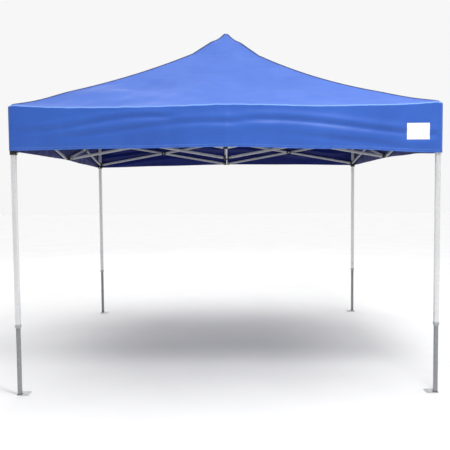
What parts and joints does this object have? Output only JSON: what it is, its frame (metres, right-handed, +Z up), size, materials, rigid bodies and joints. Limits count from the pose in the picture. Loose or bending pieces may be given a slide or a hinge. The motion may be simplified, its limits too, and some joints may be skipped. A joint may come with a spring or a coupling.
{
  "type": "pop up canopy",
  "caption": "Free-standing square pop-up canopy: telescoping square legs, folding scissor trusses, a raised centre pole and a pitched fabric cover with a straight valance.",
  "frame": {"origin": "on the ground, at the middle of the four legs", "axes": "+X to the right seen from the front, +Y from front to rear, +Z up"},
  "size_m": [2.972, 2.972, 2.845],
  "materials": {
    "leg_paint": "silver hammered powder coat, satin",
    "lower_leg_paint": "silver powder coat, satin, slightly darker",
    "bar_paint": "silver powder coat, satin",
    "black_nylon": "moulded glass-filled nylon, fine grain",
    "zinc_pin": "zinc plated",
    "blue_polyester": "woven coated polyester, slight sheen"
  },
  "bodies": {
    "front_left_leg": {"upper_leg_front_left": "leg_paint", "corner_bracket_front_left": "black_nylon"},
    "front_bar_front_left_bracket": {"front_bar_front_left_bracket": "bar_paint"},
    "front_bar_front_left_slider": {"front_bar_front_left_slider": "bar_paint"},
    "lower_connector_front": {"lower_connector_front": "black_nylon"},
    "upper_connector_front": {"upper_connector_front": "black_nylon"},
    "slider_front_left": {"slider_front_left": "black_nylon"},
    "front_bar_front_right_bracket": {"front_bar_front_right_bracket": "bar_paint"},
    "front_bar_front_right_slider": {"front_bar_front_right_slider": "bar_paint"},
    "front_right_leg": {"upper_leg_front_right": "leg_paint", "corner_bracket_front_right": "black_nylon"},
    "slider_front_right": {"slider_front_right": "black_nylon"},
    "right_bar_front_right_bracket": {"right_bar_front_right_bracket": "bar_paint"},
    "right_bar_front_right_slider": {"right_bar_front_right_slider": "bar_paint"},
    "lower_connector_right": {"lower_connector_right": "black_nylon"},
    "upper_connector_right": {"upper_connector_right": "black_nylon"},
    "right_bar_rear_right_bracket": {"right_bar_rear_right_bracket": "bar_paint"},
    "right_bar_rear_right_slider": {"right_bar_rear_right_slider": "bar_paint"},
    "rear_right_leg": {"upper_leg_rear_right": "leg_paint", "corner_bracket_rear_right": "black_nylon"},
    "slider_rear_right": {"slider_rear_right": "black_nylon"},
    "left_bar_front_left_bracket": {"left_bar_front_left_bracket": "bar_paint"},
    "left_bar_front_left_slider": {"left_bar_front_left_slider": "bar_paint"},
    "lower_connector_left": {"lower_connector_left": "black_nylon"},
    "upper_connector_left": {"upper_connector_left": "black_nylon"},
    "left_bar_rear_left_bracket": {"left_bar_rear_left_bracket": "bar_paint"},
    "left_bar_rear_left_slider": {"left_bar_rear_left_slider": "bar_paint"},
    "rear_left_leg": {"upper_leg_rear_left": "leg_paint", "corner_bracket_rear_left": "black_nylon"},
    "slider_rear_left": {"slider_rear_left": "black_nylon"},
    "rear_bar_rear_right_bracket": {"rear_bar_rear_right_bracket": "bar_paint"},
    "rear_bar_rear_right_slider": {"rear_bar_rear_right_slider": "bar_paint"},
    "lower_connector_rear": {"lower_connector_rear": "black_nylon"},
    "upper_connector_rear": {"upper_connector_rear": "black_nylon"},
    "rear_bar_rear_left_bracket": {"rear_bar_rear_left_bracket": "bar_paint"},
    "rear_bar_rear_left_slider": {"rear_bar_rear_left_slider": "bar_paint"},
    "inner_bar_front_lower": {"inner_bar_front_lower": "bar_paint"},
    "inner_bar_front_upper": {"inner_bar_front_upper": "bar_paint"},
    "upper_centre_hub": {"upper_centre_hub": "black_nylon", "canopy_cover": "blue_polyester"},
    "lower_centre_hub": {"lower_centre_hub": "black_nylon", "peak_pole": "leg_paint"},
    "inner_bar_right_lower": {"inner_bar_right_lower": "bar_paint"},
    "inner_bar_right_upper": {"inner_bar_right_upper": "bar_paint"},
    "inner_bar_rear_lower": {"inner_bar_rear_lower": "bar_paint"},
    "inner_bar_rear_upper": {"inner_bar_rear_upper": "bar_paint"},
    "inner_bar_left_lower": {"inner_bar_left_lower": "bar_paint"},
    "inner_bar_left_upper": {"inner_bar_left_upper": "bar_paint"},
    "lower_leg_front_left": {"lower_leg_front_left": "lower_leg_paint"},
    "leg_snap_button_front_left": {"leg_snap_button_front_left": "zinc_pin"},
    "slider_pull_pin_front_left": {"slider_pull_pin_front_left": "zinc_pin"},
    "lower_leg_front_right": {"lower_leg_front_right": "lower_leg_paint"},
    "leg_snap_button_front_right": {"leg_snap_button_front_right": "zinc_pin"},
    "slider_pull_pin_front_right": {"slider_pull_pin_front_right": "zinc_pin"},
    "lower_leg_rear_right": {"lower_leg_rear_right": "lower_leg_paint"},
    "leg_snap_button_rear_right": {"leg_snap_button_rear_right": "zinc_pin"},
    "slider_pull_pin_rear_right": {"slider_pull_pin_rear_right": "zinc_pin"},
    "lower_leg_rear_left": {"lower_leg_rear_left": "lower_leg_paint"},
    "leg_snap_button_rear_left": {"leg_snap_button_rear_left": "zinc_pin"},
    "slider_pull_pin_rear_left": {"slider_pull_pin_rear_left": "zinc_pin"}
  },
  "joints": [
    {"name": "frame_fold", "type": "hinge", "parent": "front_left_leg", "child": "front_bar_front_left_bracket", "pos_m": [-1.416, -1.46, 1.97], "axis": [0, 1, 0], "range_deg": [0, 77], "deforming": ["canopy_cover"]},
    {"name": "lower_connector_front_hinge", "type": "hinge", "parent": "front_bar_front_left_bracket", "child": "lower_connector_front", "pos_m": [-0.026, -1.46, 1.7249], "axis": [0, 1, 0], "range_deg": [-77, 0]},
    {"name": "front_bar_front_left_slider_scissor", "type": "hinge", "parent": "front_bar_front_left_bracket", "child": "front_bar_front_left_slider", "pos_m": [-0.721, -1.46, 1.84745], "axis": [0, 1, 0], "range_deg": [-154, 0]},
    {"name": "upper_connector_front_hinge", "type": "hinge", "parent": "front_bar_front_left_slider", "child": "upper_connector_front", "pos_m": [-0.026, -1.46, 1.97], "axis": [0, 1, 0], "range_deg": [0, 77]},
    {"name": "slider_front_left_hinge", "type": "hinge", "parent": "front_bar_front_left_slider", "child": "slider_front_left", "pos_m": [-1.416, -1.46, 1.7249], "axis": [0, 1, 0], "range_deg": [0, 77]},
    {"name": "front_bar_front_right_bracket_hinge", "type": "hinge", "parent": "lower_connector_front", "child": "front_bar_front_right_bracket", "pos_m": [0.026, -1.46, 1.7249], "axis": [0, 1, 0], "range_deg": [-77, 0]},
    {"name": "front_right_leg_hinge", "type": "hinge", "parent": "front_bar_front_right_bracket", "child": "front_right_leg", "pos_m": [1.416, -1.46, 1.97], "axis": [0, 1, 0], "range_deg": [0, 77]},
    {"name": "front_bar_front_right_slider_scissor", "type": "hinge", "parent": "front_bar_front_right_bracket", "child": "front_bar_front_right_slider", "pos_m": [0.721, -1.46, 1.84745], "axis": [0, 1, 0], "range_deg": [0, 154]},
    {"name": "slider_front_right_hinge", "type": "hinge", "parent": "front_bar_front_right_slider", "child": "slider_front_right", "pos_m": [1.416, -1.46, 1.7249], "axis": [0, 1, 0], "range_deg": [-77, 0]},
    {"name": "right_bar_front_right_bracket_hinge", "type": "hinge", "parent": "front_right_leg", "child": "right_bar_front_right_bracket", "pos_m": [1.46, -1.416, 1.97], "axis": [-1, 0, 0], "range_deg": [0, 77]},
    {"name": "lower_connector_right_hinge", "type": "hinge", "parent": "right_bar_front_right_bracket", "child": "lower_connector_right", "pos_m": [1.46, -0.026, 1.7249], "axis": [-1, 0, 0], "range_deg": [-77, 0]},
    {"name": "right_bar_front_right_slider_scissor", "type": "hinge", "parent": "right_bar_front_right_bracket", "child": "right_bar_front_right_slider", "pos_m": [1.46, -0.721, 1.84745], "axis": [-1, 0, 0], "range_deg": [-154, 0]},
    {"name": "upper_connector_right_hinge", "type": "hinge", "parent": "right_bar_front_right_slider", "child": "upper_connector_right", "pos_m": [1.46, -0.026, 1.97], "axis": [-1, 0, 0], "range_deg": [0, 77]},
    {"name": "right_bar_rear_right_bracket_hinge", "type": "hinge", "parent": "lower_connector_right", "child": "right_bar_rear_right_bracket", "pos_m": [1.46, 0.026, 1.7249], "axis": [-1, 0, 0], "range_deg": [-77, 0]},
    {"name": "rear_right_leg_hinge", "type": "hinge", "parent": "right_bar_rear_right_bracket", "child": "rear_right_leg", "pos_m": [1.46, 1.416, 1.97], "axis": [-1, 0, 0], "range_deg": [0, 77]},
    {"name": "right_bar_rear_right_slider_scissor", "type": "hinge", "parent": "right_bar_rear_right_bracket", "child": "right_bar_rear_right_slider", "pos_m": [1.46, 0.721, 1.84745], "axis": [-1, 0, 0], "range_deg": [0, 154]},
    {"name": "slider_rear_right_hinge", "type": "hinge", "parent": "right_bar_rear_right_slider", "child": "slider_rear_right", "pos_m": [1.46, 1.416, 1.7249], "axis": [-1, 0, 0], "range_deg": [-77, 0]},
    {"name": "left_bar_front_left_bracket_hinge", "type": "hinge", "parent": "front_left_leg", "child": "left_bar_front_left_bracket", "pos_m": [-1.46, -1.416, 1.97], "axis": [1, 0, 0], "range_deg": [-77, 0]},
    {"name": "lower_connector_left_hinge", "type": "hinge", "parent": "left_bar_front_left_bracket", "child": "lower_connector_left", "pos_m": [-1.46, -0.026, 1.7249], "axis": [1, 0, 0], "range_deg": [0, 77]},
    {"name": "left_bar_front_left_slider_scissor", "type": "hinge", "parent": "left_bar_front_left_bracket", "child": "left_bar_front_left_slider", "pos_m": [-1.46, -0.721, 1.84745], "axis": [1, 0, 0], "range_deg": [0, 154]},
    {"name": "upper_connector_left_hinge", "type": "hinge", "parent": "left_bar_front_left_slider", "child": "upper_connector_left", "pos_m": [-1.46, -0.026, 1.97], "axis": [1, 0, 0], "range_deg": [-77, 0]},
    {"name": "left_bar_rear_left_bracket_hinge", "type": "hinge", "parent": "lower_connector_left", "child": "left_bar_rear_left_bracket", "pos_m": [-1.46, 0.026, 1.7249], "axis": [1, 0, 0], "range_deg": [0, 77]},
    {"name": "rear_left_leg_hinge", "type": "hinge", "parent": "left_bar_rear_left_bracket", "child": "rear_left_leg", "pos_m": [-1.46, 1.416, 1.97], "axis": [1, 0, 0], "range_deg": [-77, 0]},
    {"name": "left_bar_rear_left_slider_scissor", "type": "hinge", "parent": "left_bar_rear_left_bracket", "child": "left_bar_rear_left_slider", "pos_m": [-1.46, 0.721, 1.84745], "axis": [1, 0, 0], "range_deg": [-154, 0]},
    {"name": "slider_rear_left_hinge", "type": "hinge", "parent": "left_bar_rear_left_slider", "child": "slider_rear_left", "pos_m": [-1.46, 1.416, 1.7249], "axis": [1, 0, 0], "range_deg": [0, 77]},
    {"name": "rear_bar_rear_right_bracket_hinge", "type": "hinge", "parent": "rear_right_leg", "child": "rear_bar_rear_right_bracket", "pos_m": [1.416, 1.46, 1.97], "axis": [0, -1, 0], "range_deg": [0, 77]},
    {"name": "lower_connector_rear_hinge", "type": "hinge", "parent": "rear_bar_rear_right_bracket", "child": "lower_connector_rear", "pos_m": [0.026, 1.46, 1.7249], "axis": [0, -1, 0], "range_deg": [-77, 0]},
    {"name": "rear_bar_rear_right_slider_scissor", "type": "hinge", "parent": "rear_bar_rear_right_bracket", "child": "rear_bar_rear_right_slider", "pos_m": [0.721, 1.46, 1.84745], "axis": [0, -1, 0], "range_deg": [-154, 0]},
    {"name": "upper_connector_rear_hinge", "type": "hinge", "parent": "rear_bar_rear_right_slider", "child": "upper_connector_rear", "pos_m": [0.026, 1.46, 1.97], "axis": [0, -1, 0], "range_deg": [0, 77]},
    {"name": "rear_bar_rear_left_bracket_hinge", "type": "hinge", "parent": "rear_left_leg", "child": "rear_bar_rear_left_bracket", "pos_m": [-1.416, 1.46, 1.97], "axis": [0, -1, 0], "range_deg": [-77, 0]},
    {"name": "rear_bar_rear_left_slider_scissor", "type": "hinge", "parent": "rear_bar_rear_left_bracket", "child": "rear_bar_rear_left_slider", "pos_m": [-0.721, 1.46, 1.84745], "axis": [0, -1, 0], "range_deg": [0, 154]},
    {"name": "inner_bar_front_lower_hinge", "type": "hinge", "parent": "lower_connector_front", "child": "inner_bar_front_lower", "pos_m": [0, -1.426, 1.7249], "axis": [1, 0, 0], "range_deg": [0, 77]},
    {"name": "inner_bar_front_upper_scissor", "type": "hinge", "parent": "inner_bar_front_lower", "child": "inner_bar_front_upper", "pos_m": [0, -0.731, 1.84745], "axis": [1, 0, 0], "range_deg": [-154, 0]},
    {"name": "upper_centre_hub_hinge", "type": "hinge", "parent": "inner_bar_front_lower", "child": "upper_centre_hub", "pos_m": [0, -0.036, 1.97], "axis": [1, 0, 0], "range_deg": [-77, 0]},
    {"name": "lower_centre_hub_hinge", "type": "hinge", "parent": "inner_bar_front_upper", "child": "lower_centre_hub", "pos_m": [0, -0.036, 1.7249], "axis": [1, 0, 0], "range_deg": [0, 77]},
    {"name": "inner_bar_right_lower_hinge", "type": "hinge", "parent": "lower_connector_right", "child": "inner_bar_right_lower", "pos_m": [1.426, 0, 1.7249], "axis": [0, 1, 0], "range_deg": [0, 77]},
    {"name": "inner_bar_right_upper_scissor", "type": "hinge", "parent": "inner_bar_right_lower", "child": "inner_bar_right_upper", "pos_m": [0.731, 0, 1.84745], "axis": [0, 1, 0], "range_deg": [-154, 0]},
    {"name": "inner_bar_rear_lower_hinge", "type": "hinge", "parent": "lower_connector_rear", "child": "inner_bar_rear_lower", "pos_m": [0, 1.426, 1.7249], "axis": [-1, 0, 0], "range_deg": [0, 77]},
    {"name": "inner_bar_rear_upper_scissor", "type": "hinge", "parent": "inner_bar_rear_lower", "child": "inner_bar_rear_upper", "pos_m": [0, 0.731, 1.84745], "axis": [-1, 0, 0], "range_deg": [-154, 0]},
    {"name": "inner_bar_left_lower_hinge", "type": "hinge", "parent": "lower_connector_left", "child": "inner_bar_left_lower", "pos_m": [-1.426, 0, 1.7249], "axis": [0, -1, 0], "range_deg": [0, 77]},
    {"name": "inner_bar_left_upper_scissor", "type": "hinge", "parent": "inner_bar_left_lower", "child": "inner_bar_left_upper", "pos_m": [-0.731, 0, 1.84745], "axis": [0, -1, 0], "range_deg": [-154, 0]},
    {"name": "telescope_front_left", "type": "slide", "parent": "front_left_leg", "child": "lower_leg_front_left", "axis": [0, 0, 1], "range_m": [0, 0.45]},
    {"name": "snap_front_left", "type": "slide", "parent": "lower_leg_front_left", "child": "leg_snap_button_front_left", "axis": [0, -1, 0], "range_m": [0, 0.004], "stiffness_N_per_m": 600},
    {"name": "pull_front_left", "type": "slide", "parent": "slider_front_left", "child": "slider_pull_pin_front_left", "axis": [1, 0, 0], "range_m": [0, 0.008], "stiffness_N_per_m": 500},
    {"name": "telescope_front_right", "type": "slide", "parent": "front_right_leg", "child": "lower_leg_front_right", "axis": [0, 0, 1], "range_m": [0, 0.45]},
    {"name": "snap_front_right", "type": "slide", "parent": "lower_leg_front_right", "child": "leg_snap_button_front_right", "axis": [1, 0, 0], "range_m": [0, 0.004], "stiffness_N_per_m": 600},
    {"name": "pull_front_right", "type": "slide", "parent": "slider_front_right", "child": "slider_pull_pin_front_right", "axis": [0, 1, 0], "range_m": [0, 0.008], "stiffness_N_per_m": 500},
    {"name": "telescope_rear_right", "type": "slide", "parent": "rear_right_leg", "child": "lower_leg_rear_right", "axis": [0, 0, 1], "range_m": [0, 0.45]},
    {"name": "snap_rear_right", "type": "slide", "parent": "lower_leg_rear_right", "child": "leg_snap_button_rear_right", "axis": [0, 1, 0], "range_m": [0, 0.004], "stiffness_N_per_m": 600},
    {"name": "pull_rear_right", "type": "slide", "parent": "slider_rear_right", "child": "slider_pull_pin_rear_right", "axis": [-1, 0, 0], "range_m": [0, 0.008], "stiffness_N_per_m": 500},
    {"name": "telescope_rear_left", "type": "slide", "parent": "rear_left_leg", "child": "lower_leg_rear_left", "axis": [0, 0, 1], "range_m": [0, 0.45]},
    {"name": "snap_rear_left", "type": "slide", "parent": "lower_leg_rear_left", "child": "leg_snap_button_rear_left", "axis": [-1, 0, 0], "range_m": [0, 0.004], "stiffness_N_per_m": 600},
    {"name": "pull_rear_left", "type": "slide", "parent": "slider_rear_left", "child": "slider_pull_pin_rear_left", "axis": [0, -1, 0], "range_m": [0, 0.008], "stiffness_N_per_m": 500}
  ],
  "couplings": [
    {"joint": "lower_connector_front_hinge", "follows": "frame_fold", "ratio": -1},
    {"joint": "front_bar_front_left_slider_scissor", "follows": "frame_fold", "ratio": -2},
    {"joint": "upper_connector_front_hinge", "follows": "frame_fold", "ratio": 1},
    {"joint": "slider_front_left_hinge", "follows": "frame_fold", "ratio": 1},
    {"joint": "front_bar_front_right_bracket_hinge", "follows": "frame_fold", "ratio": -1},
    {"joint": "front_right_leg_hinge", "follows": "frame_fold", "ratio": 1},
    {"joint": "front_bar_front_right_slider_scissor", "follows": "frame_fold", "ratio": 2},
    {"joint": "slider_front_right_hinge", "follows": "frame_fold", "ratio": -1},
    {"joint": "right_bar_front_right_bracket_hinge", "follows": "frame_fold", "ratio": 1},
    {"joint": "lower_connector_right_hinge", "follows": "frame_fold", "ratio": -1},
    {"joint": "right_bar_front_right_slider_scissor", "follows": "frame_fold", "ratio": -2},
    {"joint": "upper_connector_right_hinge", "follows": "frame_fold", "ratio": 1},
    {"joint": "right_bar_rear_right_bracket_hinge", "follows": "frame_fold", "ratio": -1},
    {"joint": "rear_right_leg_hinge", "follows": "frame_fold", "ratio": 1},
    {"joint": "right_bar_rear_right_slider_scissor", "follows": "frame_fold", "ratio": 2},
    {"joint": "slider_rear_right_hinge", "follows": "frame_fold", "ratio": -1},
    {"joint": "left_bar_front_left_bracket_hinge", "follows": "frame_fold", "ratio": -1},
    {"joint": "lower_connector_left_hinge", "follows": "frame_fold", "ratio": 1},
    {"joint": "left_bar_front_left_slider_scissor", "follows": "frame_fold", "ratio": 2},
    {"joint": "upper_connector_left_hinge", "follows": "frame_fold", "ratio": -1},
    {"joint": "left_bar_rear_left_bracket_hinge", "follows": "frame_fold", "ratio": 1},
    {"joint": "rear_left_leg_hinge", "follows": "frame_fold", "ratio": -1},
    {"joint": "left_bar_rear_left_slider_scissor", "follows": "frame_fold", "ratio": -2},
    {"joint": "slider_rear_left_hinge", "follows": "frame_fold", "ratio": 1},
    {"joint": "rear_bar_rear_right_bracket_hinge", "follows": "frame_fold", "ratio": 1},
    {"joint": "lower_connector_rear_hinge", "follows": "frame_fold", "ratio": -1},
    {"joint": "rear_bar_rear_right_slider_scissor", "follows": "frame_fold", "ratio": -2},
    {"joint": "upper_connector_rear_hinge", "follows": "frame_fold", "ratio": 1},
    {"joint": "rear_bar_rear_left_bracket_hinge", "follows": "frame_fold", "ratio": -1},
    {"joint": "rear_bar_rear_left_slider_scissor", "follows": "frame_fold", "ratio": 2},
    {"joint": "inner_bar_front_lower_hinge", "follows": "frame_fold", "ratio": 1},
    {"joint": "inner_bar_front_upper_scissor", "follows": "frame_fold", "ratio": -2},
    {"joint": "upper_centre_hub_hinge", "follows": "frame_fold", "ratio": -1},
    {"joint": "lower_centre_hub_hinge", "follows": "frame_fold", "ratio": 1},
    {"joint": "inner_bar_right_lower_hinge", "follows": "frame_fold", "ratio": 1},
    {"joint": "inner_bar_right_upper_scissor", "follows": "frame_fold", "ratio": -2},
    {"joint": "inner_bar_rear_lower_hinge", "follows": "frame_fold", "ratio": 1},
    {"joint": "inner_bar_rear_upper_scissor", "follows": "frame_fold", "ratio": -2},
    {"joint": "inner_bar_left_lower_hinge", "follows": "frame_fold", "ratio": 1},
    {"joint": "inner_bar_left_upper_scissor", "follows": "frame_fold", "ratio": -2}
  ]
}
